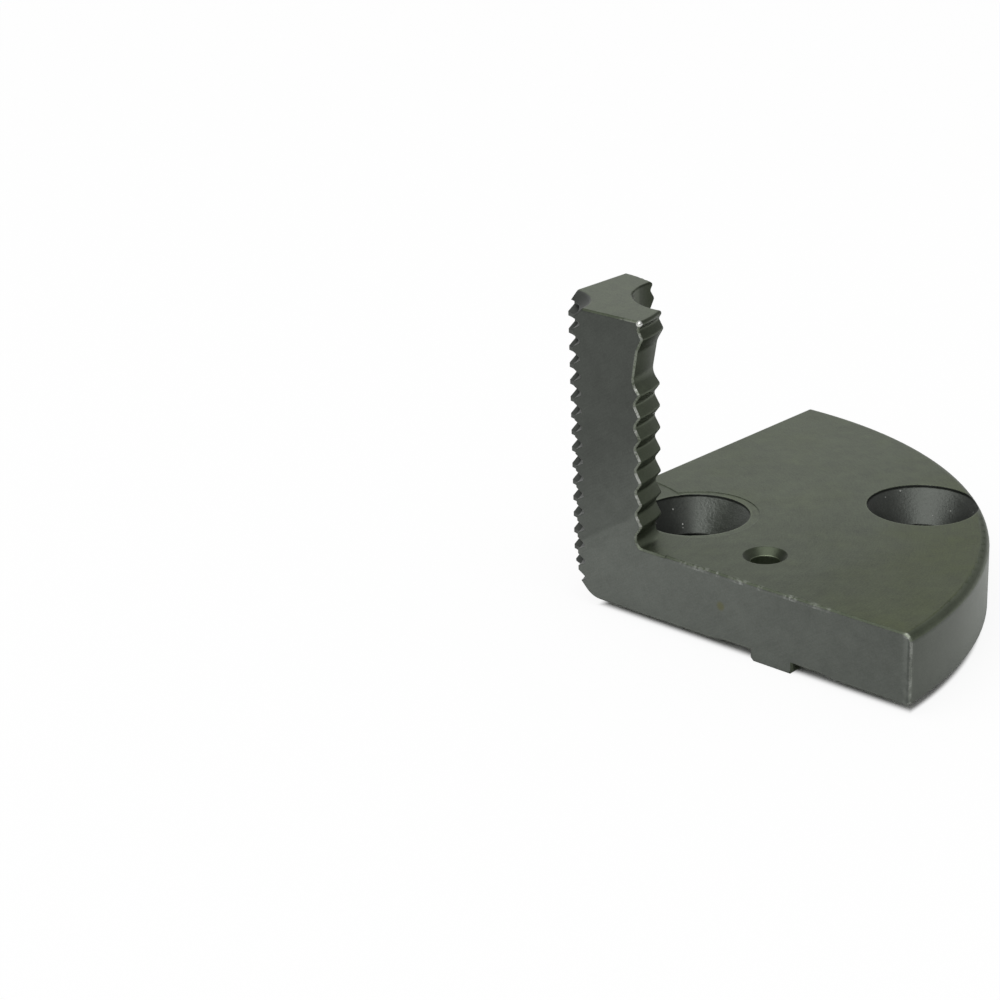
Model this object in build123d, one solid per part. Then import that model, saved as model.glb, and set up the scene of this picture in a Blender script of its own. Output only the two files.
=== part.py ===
from build123d import *
import math
import os

# Spigot chuck jaw: one quarter of a turned steel ring. Sizes are in millimetres.
# The origin is on the chuck axis, at the level of the mounting face under the flange.
# +Z runs up the nose and +X runs outward along the middle of the jaw.

# The blank is a ring turned about the chuck axis and sawn into four jaws.
JAW_COUNT = 4
KERF = 1.5                      # width of the saw cut between two neighbouring jaws
CENTRE_LINE_Y = 0.27            # the drilled and sawn centre line stands this far off the chuck axis
FLANGE_RADIUS = 63.15
FLANGE_THICKNESS = 10.2
NOSE_HEIGHT = 43.35             # from the mounting face to the top of the nose
NOSE_RADIUS = 17.64             # over the tips of the teeth; the turned depths below start here
RIM_TOP_ROUND = 1.3
RIM_BOTTOM_CHAMFER = 0.5
EDGE_BREAK = 0.3                # chamfer along the outer edges of the sawn faces
SCALLOP_EDGE_BREAK = 0.3        # rounding of the scallop's edge on top of the nose

# The tongue under the flange fits the groove of the chuck's carrier.
TONGUE_INNER_RADIUS = 36.9
TONGUE_OUTER_RADIUS = 44.1
TONGUE_HEIGHT = 1.3
TONGUE_CHAMFER = 0.45
RELIEF_INNER_WIDTH = 6.4        # shallow turned relief inside the tongue
RELIEF_OUTER_WIDTH = 6.7        # and outside it
RELIEF_DEPTH = 0.3
RELIEF_RAMP = 2.0               # radial length of the slope that leads into the relief
RELIEF_ROUND = 3.0

# Outer gripping teeth, turned as rings round the nose.
TOOTH_COUNT = 7
TOOTH_DEPTH = 0.98
TOOTH_ROOT_ROUND = 0.6
TOOTH_TIP_LAND = 0.3            # height of the narrow band along each tip
TOOTH_UNDERSIDE = 1.35          # height of the flank under a tip
TOP_TOOTH_DROP = 10.65          # from the top of the nose to the uppermost tooth tip
LOWEST_TOOTH_RISE = 3.09        # from the top of the flange to the lowest tooth tip

# Dovetail neck and the two ridges of the lip above it. Drops are measured down from the top of the nose.
NECK_LOW_DEPTH = 1.19
NECK_FOOT_RISE = 1.6            # from the uppermost tooth tip to the foot of the neck
NECK_HIGH_DEPTH = 0.29
NECK_HIGH_DROP = 4.35
NECK_ROUND = 2.0
LIP_OVERHANG = 0.74             # beyond the tips of the teeth
LIP_DROP = 2.5
LIP_GROOVE_DEPTH = 0.74         # below the two ridges
LIP_GROOVE_DROP = 1.2
LIP_ROUND = 0.42

# Shallow turned recess round the foot of the nose.
FOOT_RECESS_WIDTH = 4.36        # beyond the tips of the teeth
FOOT_RECESS_DEPTH = 0.12
FOOT_ROUND = 1.1

# Screw-cut bore that grips a tenon or a screwed rod.
THREAD_CREST_RADIUS = 5.62
THREAD_PITCH = 2.55
THREAD_ANGLE = 60.0             # between the two flanks
THREAD_CREST_FLAT = 0.65
THREAD_DEPTH = 1.32
THREAD_LOWEST_ROOT = 0.14       # height of the lowest root at -HALF_ANGLE round the axis
THREAD_OVERRUN = 15.0           # degrees that each groove runs on past the quarter at both ends
MOUTH_RADIUS = 7.4
MOUTH_DEPTH = 1.4
MOUTH_ROUND = 0.8
TAIL_CHAMFER = 2.3
TAIL_ROUND = 3.5

# Countersunk fixing holes on the centre line.
INNER_SCREW_X = 21.8
SCREW_SPACING = 33.0
SCREW_HEAD_RADIUS = 8.0
SCREW_BORE_RADIUS = 4.25
SCREW_HEAD_LIP = 0.45           # straight wall above the countersink
COUNTERSINK_ANGLE = 82.0

# Cutter clearance for the inner screw head, milled down the back of the nose.
SCALLOP_X = 22.2
SCALLOP_RADIUS = 8.9
SCALLOP_FLOOR_DEPTH = 0.08      # below the top of the flange

# Small countersunk hole beside the inner screw.
SMALL_HOLE_X = 30.0
SMALL_HOLE_Y = -16.0
SMALL_HEAD_RADIUS = 3.15
SMALL_BORE_RADIUS = 2.05
SMALL_COUNTERSINK_ANGLE = 100.0

TOLERANCE = 0.001               # lengths nearer to each other than this count as equal
CUT_CLEARANCE = 1.0             # how far a cutting tool runs past the face that it opens
HALF_ANGLE = 180.0 / JAW_COUNT


def half_angle_rise(radial, angle):
    """Axial half width that a cone or V with this included angle gains over a radial distance."""
    return radial * math.tan(math.radians(angle / 2))


def underside_points():
    """Outline of the underside from the bore out to the rim."""
    relief_start = TONGUE_INNER_RADIUS - RELIEF_INNER_WIDTH
    relief_end = TONGUE_OUTER_RADIUS + RELIEF_OUTER_WIDTH
    return [
        (THREAD_CREST_RADIUS, TAIL_CHAMFER),
        (THREAD_CREST_RADIUS + TAIL_CHAMFER, 0),
        (relief_start, 0),
        (relief_start + RELIEF_RAMP, RELIEF_DEPTH),
        (TONGUE_INNER_RADIUS, RELIEF_DEPTH),
        (TONGUE_INNER_RADIUS, -TONGUE_HEIGHT),
        (TONGUE_OUTER_RADIUS, -TONGUE_HEIGHT),
        (TONGUE_OUTER_RADIUS, RELIEF_DEPTH),
        (relief_end - RELIEF_RAMP, RELIEF_DEPTH),
        (relief_end, 0),
        (FLANGE_RADIUS, 0),
    ]


def tooth_points():
    """Root and both edges of the tip of each tooth, from the lowest tooth up."""
    points = []
    lowest = FLANGE_THICKNESS + LOWEST_TOOTH_RISE
    pitch = (NOSE_HEIGHT - TOP_TOOTH_DROP - lowest) / (TOOTH_COUNT - 1)
    for index in range(TOOTH_COUNT):
        tip = lowest + index * pitch
        points.append((NOSE_RADIUS - TOOTH_DEPTH, tip - TOOTH_TIP_LAND / 2 - TOOTH_UNDERSIDE))
        points.append((NOSE_RADIUS, tip - TOOTH_TIP_LAND / 2))
        points.append((NOSE_RADIUS, tip + TOOTH_TIP_LAND / 2))
    return points


def lip_points():
    """Neck and lip from the uppermost tooth to the top of the nose."""
    lip_radius = NOSE_RADIUS + LIP_OVERHANG
    return [
        (NOSE_RADIUS - NECK_LOW_DEPTH, NOSE_HEIGHT - TOP_TOOTH_DROP + NECK_FOOT_RISE),
        (NOSE_RADIUS - NECK_HIGH_DEPTH, NOSE_HEIGHT - NECK_HIGH_DROP),
        (lip_radius, NOSE_HEIGHT - LIP_DROP),
        (lip_radius - LIP_GROOVE_DEPTH, NOSE_HEIGHT - LIP_GROOVE_DROP),
        (lip_radius, NOSE_HEIGHT),
    ]


def shape_corners(outline, corners, size, shape=fillet):
    """Round or chamfer the corners of a flat outline that lie nearest to the given points."""
    for x, y in corners:
        vertex = outline.vertices().sort_by_distance((x, y, 0))[0]
        outline = shape(vertex, size)
    return outline


def ring_outline():
    """Half section of the ring: radius along X, height along Y."""
    recess_floor = FLANGE_THICKNESS - FOOT_RECESS_DEPTH
    underside = underside_points()
    teeth = tooth_points()
    lip = lip_points()
    recess_radius = NOSE_RADIUS + FOOT_RECESS_WIDTH
    foot = (NOSE_RADIUS - TOOTH_DEPTH, recess_floor)
    rim_top = (FLANGE_RADIUS, FLANGE_THICKNESS)
    mouth = (MOUTH_RADIUS, NOSE_HEIGHT)
    points = underside + [
        rim_top,
        (recess_radius, FLANGE_THICKNESS),
        (recess_radius - FOOT_RECESS_DEPTH, recess_floor),
        foot,
    ]
    points += teeth + lip
    points += [mouth, (THREAD_CREST_RADIUS, NOSE_HEIGHT - MOUTH_DEPTH)]
    outline = make_face(Polyline(*points, close=True))
    outline = shape_corners(outline, [rim_top], RIM_TOP_ROUND)
    outline = shape_corners(outline, [underside[-1]], RIM_BOTTOM_CHAMFER, chamfer)
    outline = shape_corners(outline, [underside[1]], TAIL_ROUND)
    outline = shape_corners(outline, underside[2:4] + underside[8:10], RELIEF_ROUND)
    outline = shape_corners(outline, underside[5:7], TONGUE_CHAMFER, chamfer)
    outline = shape_corners(outline, [foot], FOOT_ROUND)
    outline = shape_corners(outline, teeth[::3], TOOTH_ROOT_ROUND)
    outline = shape_corners(outline, lip[:2], NECK_ROUND)
    outline = shape_corners(outline, lip[2:], LIP_ROUND)
    return shape_corners(outline, [mouth], MOUTH_ROUND)


def sawn_quarter():
    """Turn the ring and keep the part between two saw cuts."""
    ring = revolve(Plane.XZ * ring_outline(), Axis.Z)
    apex = KERF / 2 / math.sin(math.radians(HALF_ANGLE))
    reach = FLANGE_RADIUS + CUT_CLEARANCE
    spread = reach * math.tan(math.radians(HALF_ANGLE))
    wedge = make_face(Polyline((apex, 0), (apex + reach, -spread), (apex + reach, spread), close=True))
    wedge = Pos(0, CENTRE_LINE_Y) * wedge
    low = -TONGUE_HEIGHT - CUT_CLEARANCE
    tall = NOSE_HEIGHT - low + CUT_CLEARANCE
    return ring & Pos(0, 0, low) * extrude(wedge, tall)


def is_sawn_edge(edge):
    """True for an edge of a sawn face that doesn't belong to the bore."""
    middle = edge @ 0.5
    turn = math.radians(HALF_ANGLE)
    for point in (edge @ 0, middle, edge @ 1):
        offset = point.X * math.sin(turn) - abs(point.Y - CENTRE_LINE_Y) * math.cos(turn)
        if abs(offset - KERF / 2) > TOLERANCE:
            return False
    return math.hypot(middle.X, middle.Y) > THREAD_CREST_RADIUS + TOLERANCE


def thread_grooves():
    """Helical V grooves, one for each pitch, each a little longer than the quarter of the bore."""
    start_angle = -HALF_ANGLE - THREAD_OVERRUN
    turn = 2 * (HALF_ANGLE + THREAD_OVERRUN) / 360
    root_radius = THREAD_CREST_RADIUS + THREAD_DEPTH
    mouth_half = (THREAD_PITCH - THREAD_CREST_FLAT) / 2
    root_half = mouth_half - half_angle_rise(THREAD_DEPTH, THREAD_ANGLE)
    inside = THREAD_CREST_RADIUS - CUT_CLEARANCE
    inside_half = mouth_half + half_angle_rise(CUT_CLEARANCE, THREAD_ANGLE)
    section = make_face(Polyline(
        (root_radius, -root_half), (root_radius, root_half),
        (inside, inside_half), (inside, -inside_half), close=True))
    helix = Helix(THREAD_PITCH, THREAD_PITCH * turn, root_radius)
    groove = sweep(Plane.XZ * section, path=helix, is_frenet=True)
    low = THREAD_LOWEST_ROOT - THREAD_PITCH * THREAD_OVERRUN / 360
    count = math.ceil((NOSE_HEIGHT - low) / THREAD_PITCH) + 1
    return [Pos(0, 0, low + index * THREAD_PITCH) * Rot(0, 0, start_angle) * groove for index in range(count)]


def countersunk_hole(head_radius, bore_radius, angle, lip):
    """Tool for a countersunk through hole that stands on the top of the flange."""
    cone_depth = (head_radius - bore_radius) / math.tan(math.radians(angle / 2))
    bottom = -FLANGE_THICKNESS - TONGUE_HEIGHT - CUT_CLEARANCE
    half = make_face(Polyline(
        (0, CUT_CLEARANCE), (head_radius, CUT_CLEARANCE), (head_radius, -lip),
        (bore_radius, -lip - cone_depth), (bore_radius, bottom), (0, bottom), close=True))
    return Pos(0, 0, FLANGE_THICKNESS) * revolve(Plane.XZ * half, Axis.Z)


def screw_scallop():
    """Tool that clears the inner screw head down the back of the nose and rounds the edge on top."""
    floor = FLANGE_THICKNESS - SCALLOP_FLOOR_DEPTH
    top = NOSE_HEIGHT + TOLERANCE / 2  # so that the rounding crosses the top of the nose and doesn't graze it
    flare = SCALLOP_RADIUS + SCALLOP_EDGE_BREAK
    half = make_face(Polyline(
        (0, floor), (SCALLOP_RADIUS, floor), (SCALLOP_RADIUS, top), (flare, top),
        (flare, top + CUT_CLEARANCE), (0, top + CUT_CLEARANCE), close=True))
    corner = make_face(Polyline(
        (SCALLOP_RADIUS, top - SCALLOP_EDGE_BREAK), (flare, top - SCALLOP_EDGE_BREAK),
        (flare, top), (SCALLOP_RADIUS, top), close=True))
    corner -= Pos(flare, top - SCALLOP_EDGE_BREAK) * Circle(SCALLOP_EDGE_BREAK)
    return Pos(SCALLOP_X, CENTRE_LINE_Y, 0) * revolve(Plane.XZ * (half + corner), Axis.Z)


def spigot_jaw():
    """The whole jaw: sawn quarter, broken edges, scallop, thread and holes."""
    jaw = sawn_quarter()
    jaw = chamfer(jaw.edges().filter_by(is_sawn_edge), EDGE_BREAK)
    jaw -= screw_scallop()
    jaw -= thread_grooves()
    screw = countersunk_hole(SCREW_HEAD_RADIUS, SCREW_BORE_RADIUS, COUNTERSINK_ANGLE, SCREW_HEAD_LIP)
    for x in (INNER_SCREW_X, INNER_SCREW_X + SCREW_SPACING):
        jaw -= Pos(x, CENTRE_LINE_Y, 0) * screw
    small = countersunk_hole(SMALL_HEAD_RADIUS, SMALL_BORE_RADIUS, SMALL_COUNTERSINK_ANGLE, 0)
    jaw -= Pos(SMALL_HOLE_X, SMALL_HOLE_Y, 0) * small
    return jaw


os.makedirs("parts", exist_ok=True)
jaw = spigot_jaw()
jaw.label = "spigot_jaw"
export_step(jaw, "parts/spigot_jaw.step")
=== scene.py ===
import math

import bmesh
import bpy
from bpy.props import FloatProperty, FloatVectorProperty, PointerProperty
from mathutils import Matrix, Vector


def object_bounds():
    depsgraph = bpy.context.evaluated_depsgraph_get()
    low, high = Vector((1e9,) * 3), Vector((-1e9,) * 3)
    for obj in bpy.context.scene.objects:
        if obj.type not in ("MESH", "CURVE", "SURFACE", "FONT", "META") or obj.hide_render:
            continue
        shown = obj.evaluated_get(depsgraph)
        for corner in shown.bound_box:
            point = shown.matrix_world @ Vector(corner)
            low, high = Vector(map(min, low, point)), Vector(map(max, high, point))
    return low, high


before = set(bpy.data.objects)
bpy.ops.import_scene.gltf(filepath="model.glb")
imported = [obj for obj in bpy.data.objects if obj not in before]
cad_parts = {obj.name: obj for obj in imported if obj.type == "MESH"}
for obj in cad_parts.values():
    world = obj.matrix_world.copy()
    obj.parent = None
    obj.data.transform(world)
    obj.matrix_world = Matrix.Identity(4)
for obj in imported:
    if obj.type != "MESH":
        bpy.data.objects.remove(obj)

bl_info = {
    "name": "Spigot chuck jaw",
    "version": (1, 0, 0),
    "blender": (4, 5, 0),
    "location": "View3D > Sidebar > Chuck Jaw",
    "description": "Finishes a blackened steel spigot chuck jaw and sets up its studio",
    "category": "Object",
}

JAW_NODE = "spigot_jaw"
CAD_BOX = [list(corner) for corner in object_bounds()]
MM = 0.001
HALF_SQRT = math.sqrt(0.5)

# Places on the jaw that the finish needs, in millimetres.
KERF = 1.5
CENTRE_LINE_Y = 0.27
EDGE_BREAK = 0.3
FLANGE_TOP = 10.2
FLANGE_RADIUS = 63.15
NOSE_TOP = 43.35
NOSE_CORNER = (18.0, 43.15)
SCREW_AXES = (21.8, 54.8)
SCREW_HEAD_RADIUS = 8.0
SCALLOP_X = 22.2
SCALLOP_RADIUS = 8.9
SMALL_HOLE = (30.0, -16.0)
SMALL_HEAD_RADIUS = 3.15
SMALL_BORE_RADIUS = 2.05
BORE_TAIL_RADIUS = 7.9
STAIN = (32.05, 5.41, 0.9)     # along the sawn face, height and radius

# Spans in which a mask rises from 0 at the first value to 1 at the second. Lengths are in millimetres, turns
# in radians, and depths are taken from a sawn face.
FLAT_COSINE = (0.96, 0.99)
SAWN_DEPTH = (0.06, 0.02)
BORE_REACH = (7.6, 7.3)
EDGE_START = (0.0, 0.03)
EDGE_END = (EDGE_BREAK + 0.02, EDGE_BREAK - 0.03)
NOSE_TOP_RISE = (NOSE_TOP - 0.25, NOSE_TOP - 0.05)
NOSE_START = (14.0, 15.0)
NOSE_RISE = (FLANGE_TOP, FLANGE_TOP + 1.0)
OUTER_SIDE_START = (15.0, 15.6)
OUTER_SIDE_END = (19.4, 18.8)
NECK_RISE = (NOSE_TOP - 10.0, NOSE_TOP - 9.0)
FOOT_END = (24.0, 17.0)

# The same for shades, most of them painted light and shade: of the sawn faces, the flange, the rim and its
# near corner, and the holes.
SHADE_FOOT = (8.2, 9.6)
SHADE_RISE = (9.5, 23.0)
SMUDGE_WIDTH = (0.7, 0.1)
SMUDGE_END = (17.0, 15.0)
OUTER_END = (24.0, 62.0)
OLIVE_REACH = (42.0, 66.0)
FRONT_REACH = (10.0, 52.0)
COUNTERSINK_RING = (SCREW_HEAD_RADIUS + 0.3, SCREW_HEAD_RADIUS + 0.1)
SCALLOP_CRESCENT = (SCALLOP_RADIUS, SCALLOP_RADIUS - 0.2)
RIM_TURN = (-0.78, -0.32)
RIM_FALL = (8.5, 1.0)
CORNER_BAND = (FLANGE_RADIUS - 1.5, FLANGE_RADIUS - 0.6)
CORNER_DEPTH = (EDGE_BREAK + 0.5, EDGE_BREAK)
CORNER_PATCH = (0.3, 0.7)
LIT_SIDE_TURN = (1.75, 0.9)
SPECK_SIZE = (0.11, 0.06)

# The same for wear, and for the painted glint and highlight.
CORNER_EDGE = (FLANGE_RADIUS - 1.6, FLANGE_RADIUS - 0.8)
WORN_PATCH = (0.42, 0.62)
BAND_PATCH = (0.34, 0.58)
NICK_RAG = (0.32, 0.66)
ROUNDED_BEND = (0.02, 0.14)
GLINT_RISE = (0.12, 0.42)
SPILL_START = (-0.02, 0.0)
SPILL_END = (EDGE_BREAK + 0.35, EDGE_BREAK)
BRIGHT_SPOT = (0.6, 0.3)
BRIGHT_DEPTH = (0.7, 0.4)

# Bounds of sharp masks, in millimetres.
FLANGE_LEVELS = (FLANGE_TOP - 0.4, FLANGE_TOP + 0.1)
NICK_LEVELS = (FLANGE_TOP - 0.6, FLANGE_TOP + 0.5)
RIM_TOP = FLANGE_TOP - 0.9
RIM_SKIN = FLANGE_RADIUS - 0.6
TEETH_FOOT = FLANGE_TOP + 0.2
GLINT_TOP = NOSE_TOP - 0.9
HOLE_TOP = FLANGE_TOP - 0.03
HOLE_SLACK = 0.1
SMALL_BORE_SLACK = 0.05
SMALL_HOLE_FOOT = 0.5
SCALLOP_FOOT = FLANGE_TOP - 0.05
SCALLOP_SLACK = 0.15
INNER_HOLE_END = SCREW_AXES[0] + SCREW_HEAD_RADIUS + 1.0
CORNER_START = FLANGE_RADIUS - 1.0
FOOT_EDGE_TOP = EDGE_BREAK + 0.1

# Noises: waves in a millimetre, detail and roughness.
MARKS = (5.5, 3.0, 0.6)
WIDE_MARKS = (1.1, 2.0, 0.5)
GRAIN = (4.0, 3.0, 0.6)
MOTTLE = (0.42, 4.0, 0.62)
CLOUD = (0.09, 3.0, 0.55)
OLIVE_PATCHES = (0.12, 2.0, 0.5)
CORNER_PATCHES = (0.8, 2.0, 0.5)
RUBBED_PATCHES = (1.1, 2.0, 0.5)
NICK_WOBBLE = (1.3, 2.0, 0.5)
NICK_RAGS = (1.9, 3.0, 0.6)
PEBBLES = (2.3, 3.0, 0.7)
SPECK_SCALE = 0.62

# Machining marks: how far coordinates are squeezed along them, and how the strokes on a sawn face slant.
TURNED_SQUEEZE = 3.0
BORED_SQUEEZE = 1.5
STROKE_SQUEEZE = 0.08
DEPTH_SQUEEZE = 0.01
STROKE_COSINE = 0.85
STROKE_SINE = 0.53

# The sawn faces carry painted shade above a slanting line, with a smudge by it. The olive patches and the
# painted shade at the front of the flange slant too.
SHADE_SLOPE = 0.62
SHADE_ORIGIN = 6.8
SMUDGE_HEIGHT = 8.9
OLIVE_SLANT = 0.5
FRONT_SLANT = 0.55

# Colours that take the place of others, and their shares.
OLIVE_SHARE = 0.8
OLIVE_RAGGEDNESS = 1.1
RIM_SHARE = 0.75
STAIN_COLOUR = (0.125, 0.122, 0.05)
STAIN_SHARE = 0.6
SPOT_CORE = 0.35

# Shares by which the steel gets darker or paler. Those named painted are painted light and shade; the rest
# are random blotches, the smudge, and the shades of the sawn faces' outer end, the rim's corner and the
# scallop's crescent.
MOTTLE_TONE = 0.42
MARKS_TONE = 0.28
GRAIN_TONE = 0.36
CLOUD_TONE = 0.34
LEVEL_TEXTURE = 1.2
SMUDGE_DARK = 0.10
FOOT_PAINTED_SHADE = 0.18
UPPER_PAINTED_SHADE = 0.23
OUTER_END_DARK = 0.16
TEETH_PAINTED_SHADE = 0.05
NECK_PAINTED_SHADE = 0.3
SCALLOP_PAINTED_SHADE = 0.3
NOSE_TOP_PAINTED_LIGHT = 0.12
RIM_PAINTED_SHADE = 0.26
RIM_TURN_PAINTED_LIGHT = 0.38
RIM_LOW_PAINTED_LIGHT = 0.16
CORNER_PALE = 0.3
FRONT_PAINTED_SHADE = 0.2
RING_PAINTED_HIGHLIGHT = 0.22
CRESCENT_PALE = 0.12
INNER_HOLE_PAINTED_SHADE = 0.45
INNER_HOLE_PAINTED_LIGHT = 1.9
SMALL_HOLE_PAINTED_SHADE = 0.35
SMALL_BORE_PAINTED_LIGHT = 1.5
EDGE_PAINTED_SHADE = 0.25
FOOT_EDGE_PAINTED_SHADE = 0.3

# How far places are rubbed bare, where 1 is bare steel, with a painted glint and a painted highlight among
# them, and what the nose's top and the bore lose of it.
EDGE_WEAR = 0.02
SIDE_WEAR = 0.12
CORNER_WEAR = 0.24
CORNER_WEAR_FLOOR = 0.3
FOOT_WEAR = 0.08
PAINTED_GLINT = 0.55
NICK_WEAR = 0.42
NICK_SHIFT = 1.2
FINE_WEAR = 0.096
PAINTED_HIGHLIGHT = 1.8
SPECK_WEAR = 0.55
NOSE_TOP_LOSS = 0.7
BORE_LOSS = 0.8
BEVEL_SAMPLES = 6

# What the textures do to the roughness and to the height of the relief.
MOTTLE_ROUGHNESS = 0.14
MARKS_ROUGHNESS = 0.08
WORN_SMOOTHNESS = 0.16
MARKS_HEIGHT = 0.8
GRAIN_HEIGHT = 0.9
WIDE_MARKS_HEIGHT = 1.2
PEBBLE_HEIGHT = 9.0

# Painted shadow: the floor under the flange stays dark from this far in, where the camera's white is
# withheld, and grows white towards the open.
UNDERCUT_DEPTH = 2.2
UNDERCUT_FADE = 1.8
RIM_UNDERCUT_FACTOR = 1.8
FLOOR_ROUGHNESS = 0.9
FLOOR_GLOSS = 0.1

SENSOR_WIDTH = 36.0
NEAREST_SIGHT = 0.01

# Rubbed places along the top edge of the near sawn face: distance from the chuck axis and strength.
NICK_REACH = 64.0
NICKS = (
    (22.0, 0.0), (24.6, 0.15), (25.6, 0.55), (26.4, 0.2), (27.6, 0.75), (28.6, 0.3), (29.6, 0.5), (30.2, 0.0),
    (31.0, 0.1), (31.3, 0.9), (31.8, 0.0), (33.6, 0.2), (34.4, 0.35), (35.5, 0.8), (36.3, 0.5), (36.9, 0.0),
    (38.3, 0.1), (38.7, 0.7), (39.3, 0.0), (42.8, 0.2), (43.6, 1.0), (44.5, 0.7), (45.3, 0.1), (47.2, 0.2),
    (47.8, 0.65), (48.9, 0.25), (49.6, 0.0), (50.1, 0.45), (50.8, 0.0), (61.8, 0.0), (62.6, 1.0),
)


class Wire:
    """A shader socket that takes part in Python sums."""

    def __init__(self, nodes, socket):
        self.nodes = nodes
        self.socket = socket

    def math(self, operation, *values):
        return self.nodes.add("ShaderNodeMath", {"operation": operation}, values)

    def __add__(self, other):
        return self.math("ADD", self, other)

    def __radd__(self, other):
        return self.math("ADD", other, self)

    def __sub__(self, other):
        return self.math("SUBTRACT", self, other)

    def __rsub__(self, other):
        return self.math("SUBTRACT", other, self)

    def __mul__(self, other):
        return self.math("MULTIPLY", self, other)

    def __truediv__(self, other):
        return self.math("DIVIDE", self, other)

    def __pow__(self, other):
        return self.math("POWER", self, other)

    def __abs__(self):
        return self.math("ABSOLUTE", self)

    def __gt__(self, other):
        return self.math("GREATER_THAN", self, other)

    def __lt__(self, other):
        return self.math("LESS_THAN", self, other)

    def most(self, other):
        return self.math("MAXIMUM", self, other)

    def least(self, other):
        return self.math("MINIMUM", self, other)


class Nodes:
    """The node tree of one material or world."""

    def __init__(self, owner):
        owner.use_nodes = True
        self.tree = owner.node_tree
        self.tree.nodes.clear()

    def add(self, kind, settings=None, values=(), output=0):
        """Add a node with its settings, fill its sockets by place or name, and give one output."""
        node = self.tree.nodes.new(kind)
        for name, value in (settings or {}).items():
            if name == "stops":
                self.fill_ramp(node.color_ramp, value)
            else:
                setattr(node, name, value)
        pairs = values.items() if isinstance(values, dict) else enumerate(values)
        for key, value in pairs:
            if isinstance(value, Wire):
                self.tree.links.new(value.socket, node.inputs[key])
            else:
                node.inputs[key].default_value = value
        return Wire(self, node.outputs[output]) if len(node.outputs) else node

    def fill_ramp(self, ramp, stops):
        for index, (place, colour) in enumerate(stops):
            stop = ramp.elements[index] if index < 2 else ramp.elements.new(place)
            stop.position = place
            stop.color = colour

    def vector(self, x, y, z):
        return self.add("ShaderNodeCombineXYZ", None, (x, y, z))

    def scaled(self, vector, factor):
        return self.add("ShaderNodeVectorMath", {"operation": "SCALE"}, {0: vector, "Scale": factor})

    def parts(self, vector):
        """The x, y and z of a vector."""
        return [self.add("ShaderNodeSeparateXYZ", None, (vector,), axis) for axis in range(3)]

    def noise(self, place, kind):
        scale, detail, roughness = kind
        sockets = {"Vector": place, "Scale": scale, "Detail": detail, "Roughness": roughness}
        return self.add("ShaderNodeTexNoise", None, sockets, "Fac")

    def step(self, value, span):
        """Rise smoothly from 0 at the span's first value to 1 at its second, which may be the smaller one."""
        sockets = {"Value": value, "From Min": span[0], "From Max": span[1]}
        return self.add("ShaderNodeMapRange", {"interpolation_type": "SMOOTHSTEP"}, sockets)

    def blend(self, mask, first, second):
        """A colour that goes from the first to the second as the mask rises. Its sockets are 6 and 7."""
        settings = {"data_type": "RGBA"}
        return self.add("ShaderNodeMix", settings, {0: mask, 6: first, 7: second}, 2)

    def blend_place(self, mask, first, second):
        """A vector that goes from the first to the second as the mask rises. Its sockets are 4 and 5."""
        settings = {"data_type": "VECTOR"}
        return self.add("ShaderNodeMix", settings, {0: mask, 4: first, 5: second}, 1)

    def within(self, value, bounds):
        """1 between the two bounds and 0 outside them."""
        return (value > bounds[0]) * (value < bounds[1])

    def finish(self, shader, kind="ShaderNodeOutputMaterial"):
        self.add(kind, None, (shader,))


def grey(value):
    return (value, value, value, 1.0)


def colour(values):
    return (*values, 1.0)


def distance(across, up):
    """Straight distance, from how far it goes each way."""
    return (across * across + up * up) ** 0.5


class JawFinishSettings(bpy.types.PropertyGroup):
    """Colours and sizes of the blackened steel."""

    turned_colour: FloatVectorProperty(
        name="Turned steel", description="Colour of the turned faces", subtype="COLOR",
        size=3, min=0.0, max=1.0, default=(0.108, 0.126, 0.088))
    olive_colour: FloatVectorProperty(
        name="Olive patches", description="Colour of the olive patches on the flange", subtype="COLOR",
        size=3, min=0.0, max=1.0, default=(0.098, 0.118, 0.058))
    sawn_colour: FloatVectorProperty(
        name="Sawn steel", description="Colour of the two sawn and ground faces", subtype="COLOR",
        size=3, min=0.0, max=1.0, default=(0.128, 0.138, 0.124))
    hole_colour: FloatVectorProperty(
        name="Bored steel", description="Colour of the countersinks and of the bore", subtype="COLOR",
        size=3, min=0.0, max=1.0, default=(0.083, 0.089, 0.081))
    # Also the colour of the painted glints and of the painted highlight on the lip's corner.
    edge_colour: FloatVectorProperty(
        name="Rubbed edges", description="Colour where the edges are rubbed bare", subtype="COLOR",
        size=3, min=0.0, max=1.0, default=(0.58, 0.59, 0.56))
    roughness: FloatProperty(
        name="Roughness", description="Roughness of the blackened steel", subtype="FACTOR",
        min=0.0, max=1.0, default=0.44)
    grain: FloatProperty(
        name="Grain", description="Height of the machining marks", subtype="DISTANCE", unit="LENGTH",
        min=0.0, max=0.001, precision=6, default=0.000007)
    wear_width: FloatProperty(
        name="Wear width", description="Width of the rubbed band along an edge", subtype="DISTANCE",
        unit="LENGTH", min=0.0, max=0.002, precision=5, default=0.00022)


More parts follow.
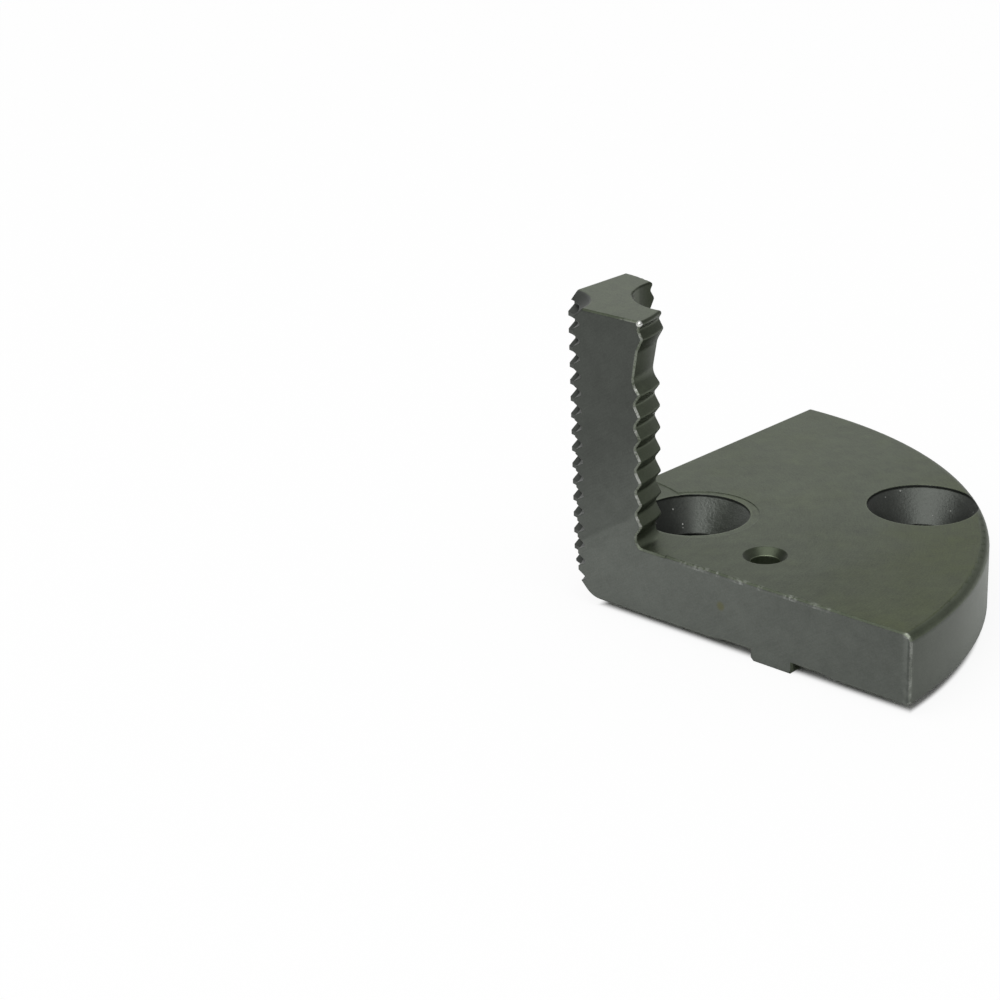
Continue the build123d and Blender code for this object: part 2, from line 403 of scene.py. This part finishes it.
class JawStageSettings(bpy.types.PropertyGroup):
    """Floor, lamps and camera of the studio."""

    floor_colour: FloatVectorProperty(
        name="Floor", description="Colour of the floor", subtype="COLOR",
        size=3, min=0.0, max=1.0, default=(0.95, 0.95, 0.95))
    floor_size: FloatProperty(
        name="Floor size", description="Width of the floor", subtype="DISTANCE", unit="LENGTH",
        min=0.1, default=6.0)
    sky_strength: FloatProperty(
        name="Room light", description="Strength of the light from all round", min=0.0, default=0.4)
    lamp_power: FloatProperty(
        name="Lamp power", description="Power of the soft lamp overhead", subtype="POWER", unit="POWER",
        min=0.0, default=98.0)
    lamp_size: FloatProperty(
        name="Lamp size", description="Width of the soft lamp overhead", subtype="DISTANCE", unit="LENGTH",
        min=0.01, default=4.8)
    lamp_place: FloatVectorProperty(
        name="Lamp place", description="Where the soft lamp hangs", subtype="TRANSLATION", unit="LENGTH",
        size=3, default=(-0.8, -1.1, 2.8))
    rear_power: FloatProperty(
        name="Rear power", description="Power of the soft light behind the jaw", subtype="POWER",
        unit="POWER", min=0.0, default=10.5)
    rear_size: FloatProperty(
        name="Rear size", description="Width of the soft light behind the jaw", subtype="DISTANCE",
        unit="LENGTH", min=0.01, default=3.2)
    rear_place: FloatVectorProperty(
        name="Rear place", description="Where the soft light behind the jaw stands", subtype="TRANSLATION",
        unit="LENGTH", size=3, default=(0.2, 3.0, 1.35))
    white_floor: FloatProperty(
        name="White floor", description="Share of plain white that the camera sees in the floor",
        subtype="FACTOR", min=0.0, max=1.0, default=0.9)
    camera_place: FloatVectorProperty(
        name="Camera", description="Where the camera stands", subtype="TRANSLATION", unit="LENGTH",
        size=3, default=(-0.00689, -0.31454, 0.13805))
    camera_turn: FloatProperty(
        name="Turn", description="Turn of the camera to the right of the jaw's +Y", subtype="ANGLE",
        unit="ROTATION", default=0.0017)
    camera_dip: FloatProperty(
        name="Dip", description="Angle at which the camera looks down", subtype="ANGLE",
        unit="ROTATION", default=0.3765)
    camera_roll: FloatProperty(
        name="Roll", description="Tilt of the camera about its line of sight", subtype="ANGLE",
        unit="ROTATION", default=-0.0396)
    lens: FloatProperty(
        name="Lens", description="Focal length in millimetres on a sensor 36 mm wide", min=1.0,
        default=84.42)


class Place:
    """Where a point lies against the jaw. Lengths are in millimetres, angles in radians."""

    def __init__(self, nodes):
        metres = nodes.add("ShaderNodeTexCoord", None, (), "Object")
        self.nodes = nodes
        self.point = nodes.scaled(metres, 1 / MM)
        self.x, self.y, self.z = nodes.parts(self.point)
        self.radius = self.reach(0.0, 0.0)
        across = abs(self.y - CENTRE_LINE_Y)
        self.from_saw = (self.x - across) * HALF_SQRT - KERF / 2
        self.along = (self.x + across) * HALF_SQRT

    def reach(self, x, y):
        """Distance from an upright axis."""
        return distance(self.x - x, self.y - y)

    def bearing(self, x, y):
        """Direction from an upright axis."""
        return self.x.math("ARCTAN2", self.y - y, self.x - x)


class Surface(Place):
    """Masks of the jaw's faces and edges, and the textures that its finish is mixed from."""

    def __init__(self, nodes):
        super().__init__(nodes)
        self.up = nodes.parts(nodes.add("ShaderNodeTexCoord", None, (), "Normal"))[2]
        self.flat = nodes.step(abs(self.up), FLAT_COSINE)
        self.near = self.y < 0.0
        self.sawn = nodes.step(self.from_saw, SAWN_DEPTH)
        self.bore = nodes.step(self.radius, BORE_REACH) * (1 - self.sawn)
        self.broken_edge = (
            nodes.step(self.from_saw, EDGE_START) * nodes.step(self.from_saw, EDGE_END) * (1 - self.bore))
        self.nose_top = nodes.step(self.z, NOSE_TOP_RISE)
        self.flange_top = self.flat * nodes.within(self.z, FLANGE_LEVELS)
        self.rim = (self.radius > RIM_SKIN) * (1 - self.flat) * (self.z < RIM_TOP)
        self.outer_side = self.find_outer_side()
        self.scallop = self.find_scallop()
        self.hole, self.hole_radius, self.hole_turn = self.find_screw_holes()
        lay = self.machining_lay()
        self.marks = nodes.noise(lay, MARKS)
        self.wide_marks = nodes.noise(lay, WIDE_MARKS)
        self.grain = nodes.noise(self.point, GRAIN)
        self.mottle = nodes.noise(self.point, MOTTLE)
        self.cloud = nodes.noise(self.point, CLOUD)

    def find_outer_side(self):
        """The toothed side of the nose with its neck and lip."""
        ring = self.nodes.step(self.radius, OUTER_SIDE_START) * self.nodes.step(self.radius, OUTER_SIDE_END)
        return ring * (self.z > TEETH_FOOT) * (1 - self.flat) * (1 - self.sawn)

    def find_scallop(self):
        gap = self.reach(SCALLOP_X, CENTRE_LINE_Y)
        return (abs(gap - SCALLOP_RADIUS) < SCALLOP_SLACK) * (self.z > SCALLOP_FOOT) * (1 - self.flat)

    def find_screw_holes(self):
        """Mask of the countersinks and bores, with the distance and direction from each one's axis."""
        mask = radius = turn = 0.0
        for x in SCREW_AXES:
            gap = self.reach(x, CENTRE_LINE_Y)
            inside = (gap < SCREW_HEAD_RADIUS + HOLE_SLACK) * (self.z < HOLE_TOP) * (1 - self.flat)
            mask = inside + mask
            radius = inside * gap + radius
            turn = inside * self.bearing(x, CENTRE_LINE_Y) + turn
        return mask, radius, turn

    def machining_lay(self):
        """Coordinates that are short along the machining marks of each face and long across them."""
        nodes = self.nodes
        turned = nodes.vector(self.radius, self.bearing(0.0, 0.0) * TURNED_SQUEEZE, self.z)
        stroke_across = self.z * STROKE_COSINE - self.along * STROKE_SINE
        stroke_along = self.along * STROKE_COSINE + self.z * STROKE_SINE
        sawn = nodes.vector(stroke_across, stroke_along * STROKE_SQUEEZE, self.y * DEPTH_SQUEEZE)
        hole = nodes.vector(self.hole_radius, self.hole_turn * BORED_SQUEEZE, self.z)
        round_scallop = self.bearing(SCALLOP_X, CENTRE_LINE_Y) * SCALLOP_RADIUS
        scallop = nodes.vector(round_scallop, 0.0, self.z * STROKE_SQUEEZE)
        lay = nodes.blend_place(self.sawn, turned, sawn)
        lay = nodes.blend_place(self.hole, lay, hole)
        return nodes.blend_place(self.scallop, lay, scallop)

    def spot(self, along, height, radius):
        """Soft round patch on the near sawn face."""
        gap = distance(self.along - along, self.z - height)
        return self.nodes.step(gap, (radius, radius * SPOT_CORE)) * self.near * self.sawn


def steel_colour(surface, settings):
    """Colour of each kind of face, with olive patches on the flange towards the rim."""
    nodes = surface.nodes
    sawn = colour(settings.sawn_colour)
    patches = (nodes.noise(surface.point, OLIVE_PATCHES) - 0.5) * OLIVE_RAGGEDNESS
    olive = nodes.step(surface.x - surface.y * OLIVE_SLANT, OLIVE_REACH) * OLIVE_SHARE
    olive = (olive + patches).least(1.0).most(0.0)
    steel = nodes.blend(surface.sawn, colour(settings.turned_colour), sawn)
    steel = nodes.blend(olive * surface.flange_top, steel, colour(settings.olive_colour))
    steel = nodes.blend(surface.rim * RIM_SHARE, steel, sawn)
    return nodes.blend(surface.hole.most(surface.bore), steel, colour(settings.hole_colour))


def blotch_tone(surface):
    """Blotches, grain and strokes, strongest on the level faces."""
    texture = (surface.mottle - 0.5) * MOTTLE_TONE + (surface.marks - 0.5) * MARKS_TONE
    texture = texture + (surface.grain - 0.5) * GRAIN_TONE
    return 1 + texture * (1 + surface.flat * LEVEL_TEXTURE) + (surface.cloud - 0.5) * CLOUD_TONE


def sawn_tone(surface):
    """The sawn faces carry painted shade up the nose, are darker towards the rim, and have a smudge at the
    foot of the nose.
    """
    nodes = surface.nodes
    height = surface.z - (surface.along - SHADE_ORIGIN) * SHADE_SLOPE
    smudge = nodes.step(abs(height - SMUDGE_HEIGHT), SMUDGE_WIDTH) * nodes.step(surface.along, SMUDGE_END)
    upper = nodes.step(height, SHADE_FOOT) * FOOT_PAINTED_SHADE + nodes.step(height, SHADE_RISE) * UPPER_PAINTED_SHADE
    outer_end = nodes.step(surface.along, OUTER_END) * surface.sawn
    return (1 - (smudge * SMUDGE_DARK + upper) * surface.sawn) * (1 - outer_end * OUTER_END_DARK)


def nose_painted_light_and_shade(surface):
    """Painted shade on the nose's toothed side, most in the neck, and in the scallop, and painted light on
    its top.
    """
    neck = surface.nodes.step(surface.z, NECK_RISE)
    side = surface.outer_side * (1 - surface.broken_edge) * (TEETH_PAINTED_SHADE + neck * NECK_PAINTED_SHADE)
    top = surface.nose_top * surface.flat
    return (1 - side) * (1 - surface.scallop * SCALLOP_PAINTED_SHADE) * (1 + top * NOSE_TOP_PAINTED_LIGHT)


def rim_tone(surface):
    """The rim carries painted shade by its near corner, turning to painted light further round, and painted
    light low down; the corner itself is pale in patches.
    """
    nodes = surface.nodes
    shade = RIM_PAINTED_SHADE - nodes.step(surface.bearing(0.0, 0.0), RIM_TURN) * RIM_TURN_PAINTED_LIGHT
    low = nodes.step(surface.z, RIM_FALL) * RIM_LOW_PAINTED_LIGHT
    corner = nodes.step(surface.along, CORNER_BAND) * nodes.step(surface.from_saw, CORNER_DEPTH)
    patches = nodes.step(nodes.noise(surface.point, CORNER_PATCHES), CORNER_PATCH)
    return (1 - surface.rim * shade) * (1 + surface.rim * low) * (1 + corner * patches * CORNER_PALE)


def flange_tone(surface):
    """The flange carries painted shade towards the front and a painted highlight round the countersinks, and
    is paler under the scallop.
    """
    nodes = surface.nodes
    front = nodes.step(surface.x * FRONT_SLANT - surface.y, FRONT_REACH) * FRONT_PAINTED_SHADE
    inner, outer = (surface.reach(x, CENTRE_LINE_Y) for x in SCREW_AXES)
    ring = nodes.step(inner.least(outer), COUNTERSINK_RING) * RING_PAINTED_HIGHLIGHT
    crescent = nodes.step(surface.reach(SCALLOP_X, CENTRE_LINE_Y), SCALLOP_CRESCENT)
    top = surface.flange_top
    return (1 - top * front) * (1 + top * ring) * (1 + top * crescent * CRESCENT_PALE)


def hole_painted_light_and_shade(surface):
    """Painted light on one side of the inner countersink and painted shade on the other, and painted shade in
    the small hole with painted light on its bore.
    """
    lit = surface.nodes.step(abs(surface.bearing(SCREW_AXES[0], CENTRE_LINE_Y)), LIT_SIDE_TURN)
    inner = surface.hole * (surface.x < INNER_HOLE_END) * (lit * INNER_HOLE_PAINTED_LIGHT - INNER_HOLE_PAINTED_SHADE)
    gap = surface.reach(*SMALL_HOLE)
    small = (gap < SMALL_HEAD_RADIUS + HOLE_SLACK) * (1 - surface.flat) * (surface.z > SMALL_HOLE_FOOT)
    small_bore = small * (gap < SMALL_BORE_RADIUS + SMALL_BORE_SLACK)
    return (1 + inner) * (1 - small * SMALL_HOLE_PAINTED_SHADE + small_bore * SMALL_BORE_PAINTED_LIGHT)


def edge_painted_shade(surface):
    """Painted shade on the broken edges, but for the toothed side and the rim's corner, and most underneath.
    """
    edge = surface.broken_edge
    shaded = edge * (1 - surface.outer_side) * (1 - (surface.along > CORNER_START))
    foot = edge * (surface.z < FOOT_EDGE_TOP)
    return (1 - shaded * EDGE_PAINTED_SHADE) * (1 - foot * FOOT_EDGE_PAINTED_SHADE)


def edge_band(surface, patchy):
    """How far the broken edges of the sawn faces are rubbed, most at the rim, with a painted glint where the
    teeth face up.
    """
    nodes = surface.nodes
    nose_start = nodes.step(surface.along, NOSE_START)
    side = nodes.step(surface.z, NOSE_RISE) * nose_start
    corner_patches = nodes.step(nodes.noise(surface.point, RUBBED_PATCHES), WORN_PATCH)
    corner_patches = CORNER_WEAR_FLOOR + corner_patches * (1 - CORNER_WEAR_FLOOR)
    corner = nodes.step(surface.along, CORNER_EDGE) * corner_patches
    foot = nodes.step(surface.along, FOOT_END) * nose_start
    glint = nodes.step(surface.up, GLINT_RISE) * side * (surface.z < GLINT_TOP)
    level = EDGE_WEAR + side * SIDE_WEAR + corner * CORNER_WEAR + foot * FOOT_WEAR + glint * PAINTED_GLINT
    level = level * (1 - surface.nose_top * NOSE_TOP_LOSS)
    return level * nodes.step(patchy, BAND_PATCH) * surface.broken_edge


def edge_nicks(surface):
    """Rubbed places along the top edge of the near sawn face, with ragged outlines."""
    nodes = surface.nodes
    stops = [(place / NICK_REACH, grey(strength)) for place, strength in NICKS]
    wobble = (nodes.noise(surface.point, NICK_WOBBLE) - 0.5) * NICK_SHIFT
    nicks = nodes.add("ShaderNodeValToRGB", {"stops": stops}, ((surface.along + wobble) / NICK_REACH,))
    ragged = nodes.step(nodes.noise(surface.point, NICK_RAGS), NICK_RAG)
    band = surface.near * nodes.within(surface.z, NICK_LEVELS)
    spill = nodes.step(surface.from_saw, SPILL_START) * nodes.step(surface.from_saw, SPILL_END)
    return nicks * ragged * band * spill


def painted_corner_highlight(surface):
    """Painted highlight on the near upper corner of the lip."""
    gap = distance(surface.along - NOSE_CORNER[0], surface.z - NOSE_CORNER[1])
    spot = surface.nodes.step(gap, BRIGHT_SPOT) * surface.near
    return spot * surface.nodes.step(surface.from_saw, BRIGHT_DEPTH)


def edge_wear_and_glints(surface, settings):
    """How far each edge is rubbed bare, with the painted glints and corner highlight, and the rounded normal
    that the edges are found with.
    """
    nodes = surface.nodes
    patchy = surface.mottle * 0.5 + surface.grain * 0.5
    soft_normal = nodes.add("ShaderNodeBevel", {"samples": BEVEL_SAMPLES}, {"Radius": settings.wear_width})
    true_normal = nodes.add("ShaderNodeNewGeometry", None, (), "Normal")
    same = nodes.add("ShaderNodeVectorMath", {"operation": "DOT_PRODUCT"},
                     (soft_normal, true_normal), "Value")
    fine = nodes.step(1 - same, ROUNDED_BEND) * nodes.step(patchy, WORN_PATCH) * FINE_WEAR
    wear_and_glints = edge_band(surface, patchy).most(edge_nicks(surface) * NICK_WEAR).most(fine)
    wear_and_glints = wear_and_glints.most(painted_corner_highlight(surface) * PAINTED_HIGHLIGHT)
    return wear_and_glints * (1 - surface.bore * BORE_LOSS), soft_normal


def blackened_steel(settings):
    """Dark grey-green satin steel with machining marks that follow each face, rubbed edges, and painted
    light, shade and glints.
    """
    material = bpy.data.materials.new("blackened_steel_and_painted_light")
    nodes = Nodes(material)
    surface = Surface(nodes)

    # The tone is random blotches times the shades of each part of the jaw, most of them painted light and
    # shade.
    tone = blotch_tone(surface)
    for part in (sawn_tone, nose_painted_light_and_shade, rim_tone, flange_tone, hole_painted_light_and_shade, edge_painted_shade):
        tone = tone * part(surface)
    steel = steel_colour(surface, settings)
    base = nodes.add("ShaderNodeMix", {"data_type": "RGBA", "blend_type": "MULTIPLY"},
                     {0: 1.0, 6: steel, 7: nodes.vector(tone, tone, tone)}, 2)
    base = nodes.blend(surface.spot(*STAIN) * STAIN_SHARE, base, colour(STAIN_COLOUR))

    # The countersinks have a pebbled skin with a few bright specks.
    pebbles = nodes.noise(surface.point, PEBBLES) * surface.hole
    specks = nodes.add("ShaderNodeTexVoronoi", {"feature": "F1"},
                       {"Vector": surface.point, "Scale": SPECK_SCALE}, "Distance")
    specks = nodes.step(specks, SPECK_SIZE) * surface.hole

    wear_and_glints, soft_normal = edge_wear_and_glints(surface, settings)
    wear_and_glints = wear_and_glints.most(specks * SPECK_WEAR)
    base = nodes.blend(wear_and_glints, base, colour(settings.edge_colour))
    uneven = (surface.mottle - 0.5) * MOTTLE_ROUGHNESS + (surface.marks - 0.5) * MARKS_ROUGHNESS
    rough = settings.roughness + uneven - wear_and_glints * WORN_SMOOTHNESS

    relief = surface.marks * MARKS_HEIGHT + surface.grain * GRAIN_HEIGHT
    relief = relief + surface.wide_marks * WIDE_MARKS_HEIGHT + pebbles * PEBBLE_HEIGHT
    bump = nodes.add("ShaderNodeBump", None, {
        "Strength": 1.0, "Distance": settings.grain, "Height": relief, "Normal": soft_normal})
    shader = nodes.add("ShaderNodeBsdfPrincipled", None, {
        "Base Color": base, "Metallic": 1.0, "Roughness": rough, "Normal": bump})
    nodes.finish(shader)
    return material


def pale_floor(settings):
    """Plain matt floor, which the camera sees nearly white but for a painted shadow on the strip just under
    the flange.
    """
    material = bpy.data.materials.new("pale_floor")
    nodes = Nodes(material)
    matt = nodes.add("ShaderNodeBsdfPrincipled", None, {
        "Base Color": colour(settings.floor_colour), "Roughness": FLOOR_ROUGHNESS,
        "Specular IOR Level": FLOOR_GLOSS})
    white = nodes.add("ShaderNodeEmission", None, {"Color": grey(1.0)})
    seen = nodes.add("ShaderNodeLightPath", None, (), "Is Camera Ray")
    place = Place(nodes)
    depth = place.from_saw.least((FLANGE_RADIUS - place.radius) * RIM_UNDERCUT_FACTOR)
    depth = depth.least(place.radius - BORE_TAIL_RADIUS)
    open_floor = nodes.step(depth, (UNDERCUT_DEPTH, UNDERCUT_DEPTH - UNDERCUT_FADE))
    share = seen * open_floor * settings.white_floor
    nodes.finish(nodes.add("ShaderNodeMixShader", None, (share, matt, white)))
    return material


class OBJECT_OT_finish_spigot_jaw(bpy.types.Operator):
    """Give the spigot jaw its blackened steel"""

    bl_idname = "object.finish_spigot_jaw"
    bl_label = "Finish Spigot Jaw"
    bl_options = {"REGISTER", "UNDO"}

    def execute(self, context):
        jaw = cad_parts[JAW_NODE]
        steel = blackened_steel(context.scene.jaw_finish)
        for slot in jaw.material_slots:
            slot.material = steel
        return {"FINISHED"}


class OBJECT_OT_build_jaw_stage(bpy.types.Operator):
    """Build the floor, the lamps and the camera"""

    bl_idname = "object.build_jaw_stage"
    bl_label = "Build Jaw Stage"
    bl_options = {"REGISTER", "UNDO"}

    def execute(self, context):
        settings = context.scene.jaw_stage
        self.add_floor(context, settings)
        self.add_light(context, settings)
        self.add_camera(context, settings)
        context.scene.view_settings.view_transform = "Standard"
        return {"FINISHED"}

    def add_floor(self, context, settings):
        mesh = bpy.data.meshes.new("studio_floor")
        level = CAD_BOX[0][2]
        sheet = bmesh.new()
        bmesh.ops.create_grid(sheet, x_segments=1, y_segments=1, size=settings.floor_size / 2)
        bmesh.ops.translate(sheet, verts=sheet.verts, vec=(0.0, 0.0, level))
        sheet.to_mesh(mesh)
        sheet.free()
        mesh.materials.append(pale_floor(settings))
        floor = bpy.data.objects.new("studio_floor", mesh)
        context.scene.collection.objects.link(floor)

    def add_light(self, context, settings):
        world = bpy.data.worlds.new("studio_room")
        context.scene.world = world
        nodes = Nodes(world)
        light = nodes.add("ShaderNodeBackground", None, {
            "Color": grey(1.0), "Strength": settings.sky_strength})
        nodes.finish(light, "ShaderNodeOutputWorld")
        self.add_lamp(
            context, "overhead_lamp", settings.lamp_place, settings.lamp_size, settings.lamp_power)
        self.add_lamp(context, "rear_lamp", settings.rear_place, settings.rear_size, settings.rear_power)

    def add_lamp(self, context, name, place, size, power):
        lamp = bpy.data.lights.new(name, "AREA")
        lamp.shape = "DISK"
        lamp.size = size
        lamp.energy = power
        holder = bpy.data.objects.new(name, lamp)
        holder.location = place
        holder.rotation_euler = (-holder.location).to_track_quat("-Z", "Y").to_euler()
        context.scene.collection.objects.link(holder)

    def add_camera(self, context, settings):
        data = bpy.data.cameras.new("photo_camera")
        data.sensor_width = SENSOR_WIDTH
        data.lens = settings.lens
        data.clip_start = NEAREST_SIGHT
        camera = bpy.data.objects.new("photo_camera", data)
        turn = Matrix.Rotation(-settings.camera_turn, 4, "Z")
        dip = Matrix.Rotation(math.pi / 2 - settings.camera_dip, 4, "X")
        roll = Matrix.Rotation(settings.camera_roll, 4, "Z")
        camera.matrix_world = Matrix.Translation(settings.camera_place) @ turn @ dip @ roll
        context.scene.collection.objects.link(camera)
        context.scene.camera = camera


class VIEW3D_PT_spigot_jaw(bpy.types.Panel):
    """Sidebar panel for the chuck jaw"""

    bl_label = "Spigot Chuck Jaw"
    bl_idname = "VIEW3D_PT_spigot_jaw"
    bl_space_type = "VIEW_3D"
    bl_region_type = "UI"
    bl_category = "Chuck Jaw"

    def draw(self, context):
        for group in (context.scene.jaw_finish, context.scene.jaw_stage):
            column = self.layout.column()
            for name in group.bl_rna.properties.keys():
                if name not in ("name", "rna_type"):
                    column.prop(group, name)
        self.layout.operator(OBJECT_OT_finish_spigot_jaw.bl_idname)
        self.layout.operator(OBJECT_OT_build_jaw_stage.bl_idname)


CLASSES = (
    JawFinishSettings, JawStageSettings, OBJECT_OT_finish_spigot_jaw, OBJECT_OT_build_jaw_stage,
    VIEW3D_PT_spigot_jaw,
)


def register():
    for item in CLASSES:
        bpy.utils.register_class(item)
    bpy.types.Scene.jaw_finish = PointerProperty(type=JawFinishSettings)
    bpy.types.Scene.jaw_stage = PointerProperty(type=JawStageSettings)


def unregister():
    del bpy.types.Scene.jaw_stage
    del bpy.types.Scene.jaw_finish
    for item in reversed(CLASSES):
        bpy.utils.unregister_class(item)


def main():
    register()
    bpy.ops.object.finish_spigot_jaw()
    bpy.ops.object.build_jaw_stage()


if __name__ == "__main__":
    main()
